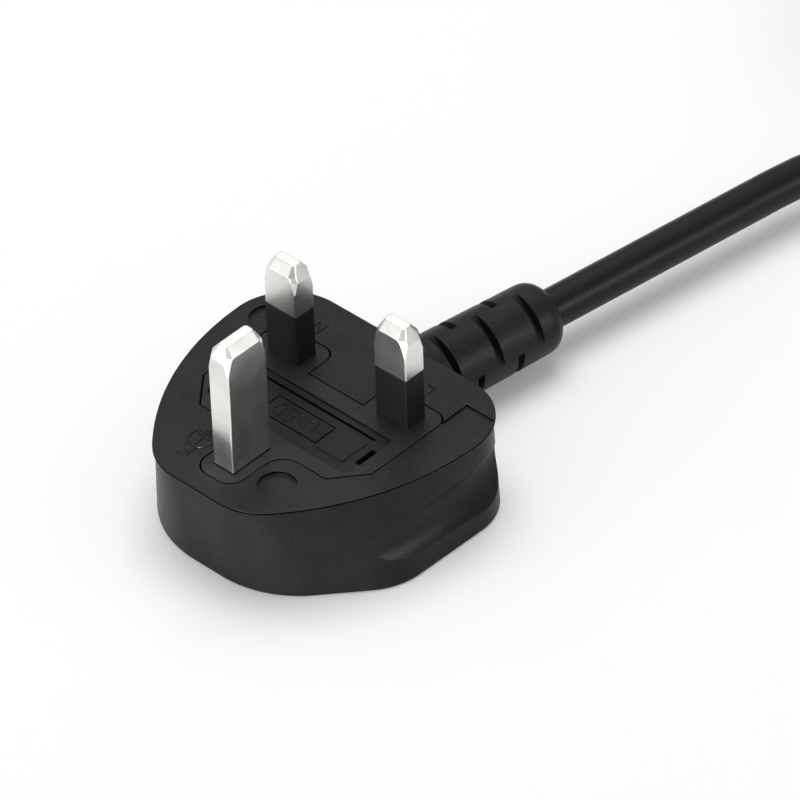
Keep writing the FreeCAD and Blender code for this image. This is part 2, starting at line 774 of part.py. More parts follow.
clip_half = s.fuse_diameter / 2 + s.clip_gap
clip_outside = clip_half + s.clip_strip
strap_end = s.pin_setback + s.strap_tail
strap_side = blade_side + s.tenon_diameter / 2 + s.strap_wall
strap_widest = max(clip_high, strap_side, key=lambda size: size.value)
strap_slot = sketch_on(bridge, "strap_slots", offset=bridge_base)
polygon(strap_slot, box_corners(clip_low - s.pin_gap, strap_widest + s.pin_gap,
                                s.fuse_row - clip_outside - s.pin_gap, strap_end + s.pin_gap))
polygon(strap_slot, box_corners(-(clip_high + s.pin_gap), -(clip_low - s.pin_gap),
                                s.fuse_row - clip_outside - s.pin_gap, s.fuse_row + clip_outside + s.pin_gap))
cut_pocket(bridge, strap_slot, "strap_channels", s.clip_strip, upwards=True)


tip_long = s.tip_height + s.tip_rise


def pin_tip(body, name, side_x, row, half_x, half_y, top):
    """The end of a pin: its corners widen into facets, its narrow sides slope in before its broad ones."""
    narrow_inset = s.tip_inset * (s.tip_height - s.tip_broad_height) / s.tip_height
    along_x = half_x.value > half_y.value
    insets = (narrow_inset, zero) if along_x else (zero, narrow_inset)
    sections = []
    whole, flat = (zero, zero), (s.tip_inset, s.tip_inset)
    for suffix, below, (inset_x, inset_y), corner in (("foot", tip_long, whole, s.pin_edge),
                                                      ("facet", s.tip_height, whole, s.tip_facet),
                                                      ("broad", s.tip_broad_height, insets, s.tip_facet),
                                                      ("flat", zero, flat, s.tip_corner)):
        section = sketch_on(body, f"{name}_tip_{suffix}", offset=top - below)
        polygon(section, cut_box_corners(side_x, row, half_x - inset_x, half_y - inset_y, corner))
        sections.append(section)
    tip = body.newObject("PartDesign::AdditiveLoft", f"{name}_tip")
    tip.Profile = sections[0]
    tip.Sections = sections[1:]
    tip.Ruled = True


def shank(body, name, side_x, row, half_x, half_y, low, high):
    sketch = sketch_on(body, f"{name}_outline", offset=low)
    polygon(sketch, cut_box_corners(side_x, row, half_x, half_y, s.pin_edge))
    raise_pad(body, sketch, name, high - low)


# Earth pin, with the crimp barrel of its tail pointing to the cord
earth = new_body("earth_pin")
earth_top = face + s.earth_out
shank(earth, "earth_shank", zero, zero, s.earth_thick / 2, s.earth_wide / 2, wire_level, earth_top - tip_long)
pin_tip(earth, "earth", zero, zero, s.earth_thick / 2, s.earth_wide / 2, earth_top)
primitive(earth, "AdditiveCylinder", "earth_barrel", s.barrel_diameter / 2, tail_reach,
          zero, earth_mouth, wire_level, axis_x, 90)
primitive(earth, "SubtractiveCylinder", "earth_crimp", s.conductor_diameter / 2, s.barrel_long,
          zero, earth_mouth, wire_level, axis_x, 90)

# Line and neutral pins, thinner where their sleeves go, and the sleeves
blade_top = face + s.blade_out
sleeve_top = face + s.sleeve_out
for name, side, foot in (("line", 1, well_floor), ("neutral", -1, wire_level)):
    pin = new_body(f"{name}_pin")
    across = blade_side * side
    shank(pin, f"{name}_shank", across, s.pin_setback, shank_half_wide, shank_half_thick, foot, sleeve_top)
    shank(pin, f"{name}_blade", across, s.pin_setback, s.blade_wide / 2, s.blade_thick / 2, sleeve_top,
          blade_top - tip_long)
    pin_tip(pin, name, across, s.pin_setback, s.blade_wide / 2, s.blade_thick / 2, blade_top)
    if name == "neutral":
        primitive(pin, "AdditiveCylinder", "neutral_barrel", s.barrel_diameter / 2, tail_reach,
                  neutral_mouth, s.pin_setback, wire_level, axis_y, -90)
        primitive(pin, "SubtractiveCylinder", "neutral_crimp", s.conductor_diameter / 2, s.barrel_long,
                  neutral_mouth, s.pin_setback, wire_level, axis_y, -90)
    else:
        primitive(pin, "AdditiveCylinder", "line_tenon", s.tenon_diameter / 2,
                  s.clip_strip + s.rivet_head * 2, across, s.pin_setback, bridge_base - s.rivet_head, axis_z, 0)
    guard = new_body(f"{name}_pin_sleeve")
    guard_base = face - s.sleeve_in
    guard_sketch = sketch_on(guard, f"{name}_guard_outline", offset=guard_base)
    for half_wide, half_thick in ((s.blade_wide / 2, s.blade_thick / 2), (shank_half_wide, shank_half_thick)):
        polygon(guard_sketch, cut_box_corners(across, s.pin_setback, half_wide, half_thick, s.pin_edge))
    raise_pad(guard, guard_sketch, f"{name}_guard", s.sleeve_in + s.sleeve_out)

# Fuse carrier: a plate just below the pin face, over two cheeks that grip the fuse
carrier = new_body("fuse_carrier")
plate_half_long = well_half_long - s.carrier_gap
plate_half_wide = s.well_half - s.carrier_gap
carrier_under = face - s.carrier_plate
carrier_corners = box_corners(-plate_half_long, plate_half_long, s.fuse_row - plate_half_wide,
                              s.fuse_row + plate_half_wide)
carrier_sketch = sketch_on(carrier, "carrier_outline", offset=carrier_under)
polygon(carrier_sketch, carrier_corners)
raise_pad(carrier, carrier_sketch, "carrier_plate", s.carrier_plate - s.carrier_sunk)
round_edges(carrier, "carrier_corner", s.well_round - s.carrier_gap, upright_at(carrier_corners))
carrier_top = face - s.carrier_sunk
square_right = plate_half_long - s.square_end
square_sketch = sketch_on(carrier, "square_outline", offset=carrier_top)
polygon(square_sketch, box_corners(square_right - s.square_wide, square_right, s.fuse_row - s.square_front,
                                   s.fuse_row + s.square_rear))
raise_pad(carrier, square_sketch, "square", s.square_height)
cheek_low = fuse_level - s.cheek_below
cheek_half_long = s.fuse_length / 2 - s.cap_length - s.cheek_end_gap
cheek_sketch = sketch_on(carrier, "cheek_outline", offset=cheek_low)
polygon(cheek_sketch, box_corners(-cheek_half_long, cheek_half_long, s.fuse_row - s.cheek_half_wide,
                                  s.fuse_row + s.cheek_half_wide))
raise_pad(carrier, cheek_sketch, "cheeks", carrier_under - cheek_low)
tube_radius = s.fuse_diameter / 2 - s.cap_wall
grip_sketch = sketch_on(carrier, "grip_outline", role="YZ_Plane")
circle(grip_sketch, s.fuse_row, fuse_level, tube_radius + s.cheek_gap)
cut_pocket(carrier, grip_sketch, "grip", cheek_half_long * 2, midplane=True)
frame_sketch = sketch_on(carrier, "frame_outline", offset=carrier_top)
for inset in (zero, s.frame_line):
    polygon(frame_sketch, box_corners(inset - s.word_left, s.word_right - inset,
                                      s.fuse_row - s.word_front + inset, s.fuse_row + s.word_rear - inset))
cut_pocket(carrier, frame_sketch, "word_frame", s.frame_depth)
groove_half_long = plate_half_long - s.groove_end
groove_side = s.fuse_row + s.groove_row - s.groove_wide / 2
groove_sketch = sketch_on(carrier, "groove_outline", offset=carrier_top)
polygon(groove_sketch, box_corners(-groove_half_long, groove_half_long, groove_side,
                                   groove_side + s.groove_wide))
cut_pocket(carrier, groove_sketch, "groove", s.groove_depth)
notch_sketch = sketch_on(carrier, "notch_outlines", offset=face)
for side in (1, -1):
    limits = [plate_half_long * side, (plate_half_long - s.notch_deep) * side]
    limits = limits if side < 0 else limits[::-1]
    polygon(notch_sketch, box_corners(limits[0], limits[1], s.fuse_row - s.notch_wide / 2,
                                      s.fuse_row + s.notch_wide / 2))
cut_pocket(carrier, notch_sketch, "notches", s.carrier_plate)

# Cartridge fuse: a ceramic tube, a cap on each end and the wire through it
tube_long = s.fuse_length - s.cap_wall * 2
tube_end = -(tube_long / 2)
cut("fuse_tube",
    cylinder("fuse_tube_outside", tube_radius, tube_long, tube_end, s.fuse_row, fuse_level, axis_y, 90),
    cylinder("fuse_tube_bore", s.tube_bore / 2, tube_long, tube_end, s.fuse_row, fuse_level, axis_y, 90))
for name, side in (("line", 1), ("load", -1)):
    outer_end = s.fuse_length / 2 * side
    inner_end = tube_long / 2 * side
    cut(f"fuse_cap_{name}",
        cylinder(f"{name}_cap_outside", s.fuse_diameter / 2, s.cap_length, outer_end, s.fuse_row, fuse_level,
                 axis_y, -90 * side),
        cylinder(f"{name}_cap_inside", tube_radius, s.cap_length - s.cap_wall, inner_end, s.fuse_row,
                 fuse_level, axis_y, -90 * side))
cylinder("fuse_element", s.element_diameter / 2, tube_long, tube_end, s.fuse_row, fuse_level, axis_y, 90)

# Fuse clips: a strip bent into a U round each cap; one strap is riveted to the line pin, one ends in a crimp
for name, side in (("line", 1), ("load", -1)):
    clip = new_body(f"fuse_clip_{name}")
    arm_top = bridge_base + s.clip_arm
    near, far = s.fuse_row - clip_outside, s.fuse_row + clip_outside
    clip_start = clip_low if side > 0 else -clip_high
    clip_sketch = sketch_on(clip, f"{name}_clip_outline", role="YZ_Plane", offset=clip_start)
    polygon(clip_sketch, [(near, bridge_base), (far, bridge_base), (far, arm_top),
                          (far - s.clip_strip, arm_top), (far - s.clip_strip, well_floor),
                          (near + s.clip_strip, well_floor), (near + s.clip_strip, arm_top), (near, arm_top)])
    raise_pad(clip, clip_sketch, f"{name}_clip", s.clip_wide)
    if side > 0:
        strap_sketch = sketch_on(clip, "strap_outline", offset=bridge_base)
        polygon(strap_sketch, box_corners(clip_low, strap_side, s.fuse_row, strap_end))
        raise_pad(clip, strap_sketch, "strap", s.clip_strip)
        rivet_sketch = sketch_on(clip, "rivet_outline", offset=well_floor)
        circle(rivet_sketch, blade_side, s.pin_setback, s.tenon_diameter / 2)
        cut_pocket(clip, rivet_sketch, "rivet_hole", s.clip_strip)
    else:
        web_sketch = sketch_on(clip, "web_outline", offset=wire_level)
        polygon(web_sketch, box_corners(-clip_high, -clip_low, s.fuse_row - s.clip_strip,
                                        s.fuse_row + s.clip_strip))
        raise_pad(clip, web_sketch, "web", bridge_base - wire_level)
        primitive(clip, "AdditiveCylinder", "load_barrel", s.barrel_diameter / 2, tail_reach,
                  load_mouth, s.fuse_row, wire_level, axis_y, -90)
        primitive(clip, "SubtractiveCylinder", "load_crimp", s.conductor_diameter / 2, s.barrel_long,
                  load_mouth, s.fuse_row, wire_level, axis_y, -90)

# Hank: the put-away length, laid in turns two wide, three high outside and two high inside
cord = s.cord_diameter
hank_inside = s.fold_radius - cord / 2
hank_middle = s.fold_radius + cord / 2
hank_outside = hank_middle + cord
near_fold = s.hank_near + hank_outside


def stadium(label, radius, low, height):
    """A round-ended block, as long as the hank's straight runs."""
    middle = block(f"{label}_middle", radius * 2, s.hank_run, height, s.hank_side - radius, near_fold, low)
    ends = [cylinder(f"{label}_{name}", radius, height, s.hank_side, row, low)
            for name, row in (("near", near_fold), ("far", near_fold + s.hank_run))]
    return fuse(label, [middle] + ends)


hank_low = s.tie_thick
upper_low = hank_low + cord * 2
lower_turns = cut("lower_turns", stadium("lower_outside", hank_outside, hank_low, cord * 2),
                  stadium("lower_inside", hank_inside, hank_low, cord * 2))
upper_turns = cut("upper_turns", stadium("upper_outside", hank_outside, upper_low, cord),
                  stadium("upper_inside", hank_middle, upper_low, cord))
fuse("cord_hank", [lower_turns, upper_turns])

# Ties: a flat band round each straight side of the hank
bands = []
tie_inside = cord * 2 + s.tie_gap * 2
tie_outside = tie_inside + s.tie_thick * 2
tie_row = near_fold + s.hank_run / 2 - s.tie_wide / 2
for name, side in (("near", -1), ("far", 1)):
    middle = s.hank_side + s.fold_radius * side + cord / 2 * side
    outer = block(f"{name}_band_outside", tie_outside, s.tie_wide, cord * 3 + s.tie_gap + s.tie_thick * 2,
                  middle - tie_outside / 2, tie_row, zero)
    inner = block(f"{name}_band_inside", tie_inside, s.tie_wide, cord * 3 + s.tie_gap,
                  middle - tie_inside / 2, tie_row, s.tie_thick)
    bands.append(cut(f"{name}_band", outer, inner))
ties = doc.addObject("Part::Compound", "hank_ties")
ties.Links = bands

# Cord from the boot to the hank: level in the open, then down beside the first turn
run_level = s.tie_thick.value + cord.value / 2
entry_side = s.hank_side.value + s.fold_radius.value + cord.value
cord_points = [
    along_boot(s.boot_length.value),
    along_boot(s.boot_length.value + s.open_run.value),
    FreeCAD.Vector(s.bend_side.value, s.bend_row.value, (s.boot_height.value + run_level) / 2),
    FreeCAD.Vector(entry_side, s.entry_row.value, run_level),
]
cord_path, radii = rounded_path(cord_points)
print("cord radii", [round(radius, 1) for radius in radii])
feature("cord_run", tube(cord_path, cord.value / 2))

# Far end of the lead: the sheath is cut back and each conductor is bared
tail_side = s.hank_side - s.fold_radius
tail_level = upper_low + cord / 2
tail_start = near_fold + s.hank_run
cut("cord_tail",
    cylinder("tail_outside", cord / 2, s.tail_sheath, tail_side, tail_start, tail_level, axis_x, 90),
    cylinder("tail_inside", cord / 2 - s.sheath_wall, s.tail_sheath, tail_side, tail_start, tail_level,
             axis_x, 90))
core_long = s.tail_sheath + s.tail_core
tips = []
for name, (offset, stops) in core_routes.items():
    core_x, core_z = tail_side + offset.x, tail_level + offset.z
    cut(f"tail_{name}_core",
        cylinder(f"tail_{name}_outside", s.core_diameter / 2, core_long, core_x, tail_start, core_z,
                 axis_x, 90),
        cylinder(f"tail_{name}_inside", s.conductor_diameter / 2, core_long, core_x, tail_start, core_z,
                 axis_x, 90))
    tips.append(cylinder(f"tail_{name}_conductor", s.conductor_diameter / 2, core_long + s.tail_bare, core_x,
                         tail_start, core_z, axis_x, 90))
tail_conductors = doc.addObject("Part::Compound", "tail_conductors")
tail_conductors.Links = tips

nodes = [
    "outer_moulding", "pin_bridge", "earth_pin", "line_pin", "neutral_pin", "line_pin_sleeve",
    "neutral_pin_sleeve", "fuse_carrier", "fuse_tube", "fuse_cap_line", "fuse_cap_load", "fuse_element",
    "fuse_clip_line", "fuse_clip_load", "line_core", "line_conductor", "neutral_core", "neutral_conductor",
    "earth_core", "earth_conductor", "cord_sheath_end", "cord_run", "cord_hank", "hank_ties", "cord_tail",
    "tail_line_core", "tail_neutral_core", "tail_earth_core", "tail_conductors",
]
doc.recompute()
for item in doc.Objects:
    if "Invalid" in item.State or "Error" in item.State:
        raise RuntimeError(f"{item.Label} has failed: {item.State}")
os.makedirs("parts", exist_ok=True)
for label in nodes:
    shape = doc.getObjectsByLabel(label)[0].Shape
    if shape.isNull() or not shape.isValid():
        raise RuntimeError(f"{label} has no valid shape")
    shape.exportStep(f"parts/{label}.step")
print(len(nodes), "pieces written")
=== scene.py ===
import json
import math

import bmesh
import bpy
import numpy as np
from mathutils import Matrix, Vector


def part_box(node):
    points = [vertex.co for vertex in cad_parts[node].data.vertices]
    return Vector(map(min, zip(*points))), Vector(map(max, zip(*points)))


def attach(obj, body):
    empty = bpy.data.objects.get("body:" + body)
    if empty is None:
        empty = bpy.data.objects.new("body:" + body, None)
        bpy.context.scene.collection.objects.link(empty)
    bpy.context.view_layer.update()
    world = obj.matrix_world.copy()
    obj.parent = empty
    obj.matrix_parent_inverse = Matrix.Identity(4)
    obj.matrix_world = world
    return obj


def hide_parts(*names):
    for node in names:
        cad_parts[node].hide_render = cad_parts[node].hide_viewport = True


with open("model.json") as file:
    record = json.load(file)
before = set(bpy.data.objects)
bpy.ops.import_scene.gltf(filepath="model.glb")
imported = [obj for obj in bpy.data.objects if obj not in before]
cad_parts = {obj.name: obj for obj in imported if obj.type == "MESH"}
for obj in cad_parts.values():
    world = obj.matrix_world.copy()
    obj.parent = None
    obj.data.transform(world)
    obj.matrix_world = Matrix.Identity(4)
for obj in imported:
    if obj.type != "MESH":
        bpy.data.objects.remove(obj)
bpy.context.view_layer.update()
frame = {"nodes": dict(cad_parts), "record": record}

nodes = frame["nodes"]
mm = 0.001
cores = ("line", "neutral", "earth")
print("frame loaded:", len(nodes), "nodes")


def nodeBox(name):
    # the low and the high corner of a CAD node, in mm
    return [np.array(corner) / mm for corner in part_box(name)]


faceLevel = nodeBox("outer_moulding")[1][2]


class Value:
    # a socket of a finish: sums and products of it add Math nodes

    def __init__(self, finish, socket):
        self.finish = finish
        self.socket = socket

    def maths(self, operation, first, second):
        return self.finish.node("ShaderNodeMath", {"operation": operation}, {0: first, 1: second})

    def __add__(self, other):
        return self.maths("ADD", self, other)

    def __radd__(self, other):
        return self.maths("ADD", other, self)

    def __sub__(self, other):
        return self.maths("SUBTRACT", self, other)

    def __mul__(self, other):
        return self.maths("MULTIPLY", self, other)

    def __rmul__(self, other):
        return self.maths("MULTIPLY", other, self)

    def __gt__(self, other):
        return self.maths("GREATER_THAN", self, other)

    def __lt__(self, other):
        return self.maths("LESS_THAN", self, other)


class Finish:
    # the nodes of a material or of the world, all made by one method
    edgeSamples = 6

    def __init__(self, owner, shader="Principled BSDF"):
        owner.use_nodes = True
        self.owner = owner
        self.tree = owner.node_tree
        self.shader = self.tree.nodes[shader]

    def node(self, kind, settings=None, inputs=None, output=0):
        made = self.tree.nodes.new(kind)
        for key, setting in (settings or {}).items():
            setattr(made, key, setting)
        for key, value in (inputs or {}).items():
            self.feed(made.inputs[key], value)
        return Value(self, made.outputs[output])

    def feed(self, socket, value):
        if isinstance(value, Value):
            self.tree.links.new(value.socket, socket)
        else:
            socket.default_value = value

    def surface(self, **inputs):
        for key, value in inputs.items():
            self.feed(self.shader.inputs[key.replace("_", " ")], value)
        return self.owner

    def place(self):
        return self.node("ShaderNodeTexCoord", output="Object")

    def noise(self, size, detail=2.0, stretch=(1, 1, 1)):
        spread = self.node("ShaderNodeMapping", {}, {"Vector": self.place(), "Scale": stretch})
        return self.node("ShaderNodeTexNoise", {}, {"Vector": spread, "Scale": 1 / size, "Detail": detail})

    def blend(self, share, first, second):
        settings = {"data_type": "RGBA"}
        return self.node("ShaderNodeMix", settings, {0: share, 6: first, 7: second}, output=2)

    def bump(self, height, depth, edge=0.0):
        inputs = {"Height": height, "Distance": depth, "Strength": 1.0}
        if edge:
            inputs["Normal"] = self.node("ShaderNodeBevel", {"samples": self.edgeSamples}, {"Radius": edge})
        return self.node("ShaderNodeBump", {}, inputs)

    def cover(self, share, kind, colour):
        # a plain shader of one colour over this finish, to this share
        plain = Value(self, self.shader.outputs[0])
        over = self.node(kind, {}, {"Color": colour})
        mixed = self.node("ShaderNodeMixShader", {}, {0: share, 1: plain, 2: over})
        self.feed(self.tree.nodes["Material Output"].inputs["Surface"], mixed)

    # a near-black diffuse band between two heights, painted shade that stands in for the shadow in a fine gap
    # or under an edge
    def seam(self, settings):
        # a fine dark gap where two pieces meet, between two heights
        low, high = settings["seam"]
        level = self.node("ShaderNodeSeparateXYZ", {}, {0: self.place()}, output="Z")
        self.cover((level > low) * (level < high), "ShaderNodeBsdfDiffuse", grey(settings["seamShade"]))

    def whiteWhenSeen(self, share):
        # the camera, metal and glass see white to this share, and the light on the object stays as it is
        rays = [self.node("ShaderNodeLightPath", output=ray)
                for ray in ("Is Camera Ray", "Is Glossy Ray", "Is Transmission Ray")]
        seen = self.node("ShaderNodeClamp", {}, {0: rays[0] + rays[1] + rays[2]})
        self.cover(seen * share, "ShaderNodeEmission", grey(1.0))


def newFinish(name):
    return Finish(bpy.data.materials.new(name))


def grey(level):
    return (level, level, level, 1.0)


# Moulded plastics: a fine spark-eroded grain, a faint mottle and softened edges. Noise lies about a half.
def mouldedPlastic(name, settings):
    finish = newFinish(name)
    grain = finish.noise(settings["grain"], settings["grainDetail"])
    mottle = finish.noise(settings["mottle"])
    speckle = 0.5 + settings["grainShare"] * (grain - 0.5) + settings["mottleShare"] * (mottle - 0.5)
    colour = finish.blend(speckle, grey(settings["dark"]), grey(settings["light"]))
    roughness = settings["roughness"] + settings["spread"] * (mottle - 0.5)
    # painted shade: where the settings give a band, the surface is covered near-black between those two
    # heights
    if "seam" in settings:
        finish.seam(settings)
    return finish.surface(
        Base_Color=colour, Roughness=roughness, Specular_IOR_Level=settings["gloss"],
        Normal=finish.bump(grain, settings["depth"], settings["edge"]))


mouldingFinish = {"dark": 0.004, "light": 0.028, "grainShare": 1.2, "mottleShare": 0.5, "roughness": 0.38,
                  "spread": 0.08, "gloss": 0.12, "grain": 0.28 * mm, "grainDetail": 3.0, "mottle": 6 * mm,
                  "depth": 0.012 * mm, "edge": 0.25 * mm}
# painted light: the bridge is the moulding's plastic made lighter, to lift the shade it lies in
bridgePaintedLightFinish = {**mouldingFinish, "dark": 0.007, "light": 0.033, "roughness": 0.4,
                "depth": 0.008 * mm, "edge": 0.12 * mm}
carrierFinish = {**mouldingFinish, "dark": 0.005, "light": 0.020, "roughness": 0.46, "gloss": 0.11,
                 "depth": 0.006 * mm, "edge": 0.08 * mm}
sleeveFinish = {**mouldingFinish, "dark": 0.013, "light": 0.015, "roughness": 0.36, "gloss": 0.16,
                "depth": 0.004 * mm, "edge": 0.2 * mm}
sheathFinish = {**mouldingFinish, "dark": 0.008, "light": 0.010, "roughness": 0.34, "spread": 0.06,
                "gloss": 0.15, "grain": 0.5 * mm, "depth": 0.008 * mm, "edge": 0.0}
# painted shade on the moulding: a near-black band from 0.25 mm to 0.015 mm below the face level, for the
# shadow line along the rim's edge
rimPaintedShade = {"seam": ((faceLevel - 0.25) * mm, (faceLevel - 0.015) * mm), "seamShade": 0.001}
tieFinish = {**mouldingFinish, "dark": 0.020, "light": 0.035, "roughness": 0.7, "gloss": 0.1,
             "grain": 0.3 * mm, "depth": 0.08 * mm, "edge": 0.0}


# Plated and bare metals: drawn along the piece, so the scratches are long in one direction
def drawnMetal(name, settings):
    finish = newFinish(name)
    lines = finish.noise(settings["line"], stretch=settings["stretch"])
    cloud = finish.noise(settings["cloud"])
    colour = finish.blend(cloud, settings["deep"], settings["bright"])
    roughness = settings["roughness"] + settings["spread"] * (cloud - 0.5)
    # painted shade: where the settings give a band, the metal is covered near-black between those two heights
    if "seam" in settings:
        finish.seam(settings)
    return finish.surface(
        Base_Color=colour, Metallic=1.0, Roughness=roughness,
        Normal=finish.bump(lines, settings["depth"], settings["edge"]))


pinFinish = {"deep": (0.64, 0.63, 0.61, 1.0), "bright": (0.80, 0.79, 0.77, 1.0), "roughness": 0.23,
             "spread": 0.06, "line": 0.12 * mm, "stretch": (1, 1, 0.03), "cloud": 3 * mm,
             "depth": 0.0008 * mm, "edge": 0.18 * mm}
# painted shade on the pins: their feet, from 0.1 mm below to 0.18 mm above the face level, are painted
# near-black for the shadow in the gap round each pin
pinFootPaintedShade = {"seam": ((faceLevel - 0.1) * mm, (faceLevel + 0.18) * mm), "seamShade": 0.002}
capFinish = {**pinFinish, "roughness": 0.3, "stretch": (0.05, 1, 1)}
clipFinish = {**pinFinish, "deep": (0.60, 0.42, 0.16, 1.0), "bright": (0.72, 0.52, 0.22, 1.0),
              "roughness": 0.32, "stretch": (1, 0.05, 1)}
copperFinish = {**pinFinish, "deep": (0.62, 0.26, 0.13, 1.0), "bright": (0.80, 0.38, 0.22, 1.0),
                "roughness": 0.34, "stretch": (1, 0.05, 1), "edge": 0.0}


# Fuse tube: white glazed ceramic with a slight speckle
ceramic = {"clean": (0.80, 0.79, 0.75, 1.0), "speck": (0.62, 0.60, 0.55, 1.0), "size": 0.5 * mm,
           "detail": 1.0, "share": 0.62, "depthOfTint": 0.5, "roughness": 0.28, "spread": 0.1,
           "depth": 0.004 * mm}


def glazedCeramic():
    finish = newFinish("ceramic")
    specks = finish.noise(ceramic["size"], ceramic["detail"])
    tint = (specks > ceramic["share"]) * ceramic["depthOfTint"]
    return finish.surface(
        Base_Color=finish.blend(tint, ceramic["clean"], ceramic["speck"]),
        Roughness=ceramic["roughness"] + ceramic["spread"] * specks,
        Normal=finish.bump(specks, ceramic["depth"]))


# Core insulation: brown, blue, and yellow with a green stripe where the piece says
insulation = {"line": (0.10, 0.035, 0.012, 1.0), "neutral": (0.01, 0.09, 0.42, 1.0),
              "earth": (0.62, 0.48, 0.02, 1.0), "stripe": (0.03, 0.22, 0.05, 1.0), "shade": 0.8,
              "roughness": 0.42, "spread": 0.08, "grain": 0.4 * mm, "depth": 0.006 * mm}


def coreInsulation(core, tint):
    finish = newFinish(f"{core}Insulation")
    grain = finish.noise(insulation["grain"])
    shade = tuple(insulation["shade"] * part for part in tint[:3]) + (1.0,)
    colour = finish.blend(grain, shade, tint)
    if core == "earth":
        side = finish.node("ShaderNodeAttribute", {"attribute_name": "stripe"}, output="Fac")
        colour = finish.blend(side > 0.0, colour, insulation["stripe"])
    return finish.surface(
        Base_Color=colour, Roughness=insulation["roughness"] + insulation["spread"] * grain,
        Normal=finish.bump(grain, insulation["depth"]))


finishes = {
    "moulding": mouldedPlastic("moulding", {**mouldingFinish, **rimPaintedShade}),
    "bridge": mouldedPlastic("bridge", bridgePaintedLightFinish),
    "carrier": mouldedPlastic("carrier", carrierFinish),
    "sleeve": mouldedPlastic("sleeve", sleeveFinish),
    "sheath": mouldedPlastic("sheath", sheathFinish),
    "tie": mouldedPlastic("tie", tieFinish),
    "pin_metal": drawnMetal("pinPlating", {**pinFinish, **pinFootPaintedShade}),
    "cap_metal": drawnMetal("fuseCap", capFinish),
    "clip_metal": drawnMetal("clipBrass", clipFinish),
    "copper": drawnMetal("copperWire", copperFinish),
    "ceramic": glazedCeramic(),
}
for core in cores:
    finishes[f"{core}_insulation"] = coreInsulation(core, insulation[core])
faceMarkFinish = mouldedPlastic("faceMark", {**mouldingFinish, "edge": 0.0})
carrierMarkFinish = mouldedPlastic("carrierMark", {**carrierFinish, "edge": 0.0})
slotOf = {part["node"]: part["material_slot"] for part in frame["record"]["subparts"]}
for name, node in nodes.items():
    node.data.materials.clear()
    node.data.materials.append(finishes[slotOf[name]])
print("finishes set:", len(finishes))


# Grids of points joined into one piece: columns close on themselves, and points that meet are merged
mesher = {"merge": 0.0005 * mm, "crease": 40}


def gridFaces(rows, columns):
    index = np.arange(rows * columns).reshape(rows, columns)
    index = np.hstack([index, index[:, :1]])
    return np.stack([index[:-1, :-1], index[:-1, 1:], index[1:, 1:], index[1:, :-1]], -1).reshape(-1, 4)


def gridPiece(name, grids, finish, body, stripes=None):
    starts = np.cumsum([0] + [grid.shape[0] * grid.shape[1] for grid in grids])
    faces = np.concatenate([gridFaces(*grid.shape[:2]) + start for grid, start in zip(grids, starts)])
    points = np.concatenate([grid.reshape(-1, 3) for grid in grids]) * mm
    mesh = bpy.data.meshes.new(name)
    mesh.from_pydata(points, [], faces.tolist())
    if stripes is not None:
        mesh.attributes.new("stripe", "FLOAT", "POINT").data.foreach_set("value", stripes.ravel())
    shell = bmesh.new()
    shell.from_mesh(mesh)
    bmesh.ops.remove_doubles(shell, verts=shell.verts, dist=mesher["merge"])
    bmesh.ops.recalc_face_normals(shell, faces=shell.faces)
    shell.to_mesh(mesh)
    shell.free()
    mesh.shade_smooth()
    mesh.set_sharp_from_angle(angle=math.radians(mesher["crease"]))
    piece = bpy.data.objects.new(name, mesh)
    bpy.context.scene.collection.objects.link(piece)
    mesh.materials.append(finish)
    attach(piece, body)
    return piece


def unit(vectors):
    return vectors / np.linalg.norm(vectors, axis=-1, keepdims=True)


# A round section carried along a path, with a point at each end:
# path + radius * (cos turn * side + sin turn * up)
def tube(path, radius, sides):
    run = unit(np.gradient(path, axis=0))
    side = unit(np.cross(run, (0, 0, 1)))
    up = np.cross(side, run)
    turn = np.linspace(0, 2 * math.pi, sides, endpoint=False)[:, None]
    rings = path[:, None] + radius * (np.cos(turn) * side[:, None] + np.sin(turn) * up[:, None])
    ends = np.repeat(path[[0, -1], None], sides, axis=1)
    return np.concatenate([ends[:1], rings, ends[1:]])


# Raised marks of the pin face, in mm: plain letters for the pins, the earth sign, and a word on the carrier
marks = {"width": 0.3, "height": 0.18, "sunk": 0.1, "sides": 16, "endSteps": 5, "step": 0.12,
         "bowPoints": 25, "underCarrierTop": 0.15}
earthSign = {"centre": (-7.16, -1.18), "ring": 2.04, "stem": ((-7.1, -2.6), (-7.1, -0.64)),
             "bars": [(-0.64, 1.3), (-0.09, 0.75), (0.44, 0.35)]}
pinLetters = [("E", (-6.36, -3.2), (1.5, 2.5)), ("L", (11.0, 29.9), (1.3, 2.4)),
              ("N", (-11.1, 30.1), (1.5, 2.4))]
fuseWord = {"word": "FUSED", "start": (5.6, 12.85), "letter": (1.5, 2.6), "pitch": 2.07}


# Points of an elliptic bow: centre + reach * (cos, sin) of an angle given in degrees
def bow(centre, reach, start, end):
    angle = np.radians(np.linspace(start, end, marks["bowPoints"]))
    return np.stack([centre[0] + reach[0] * np.cos(angle), centre[1] + reach[1] * np.sin(angle)], 1)


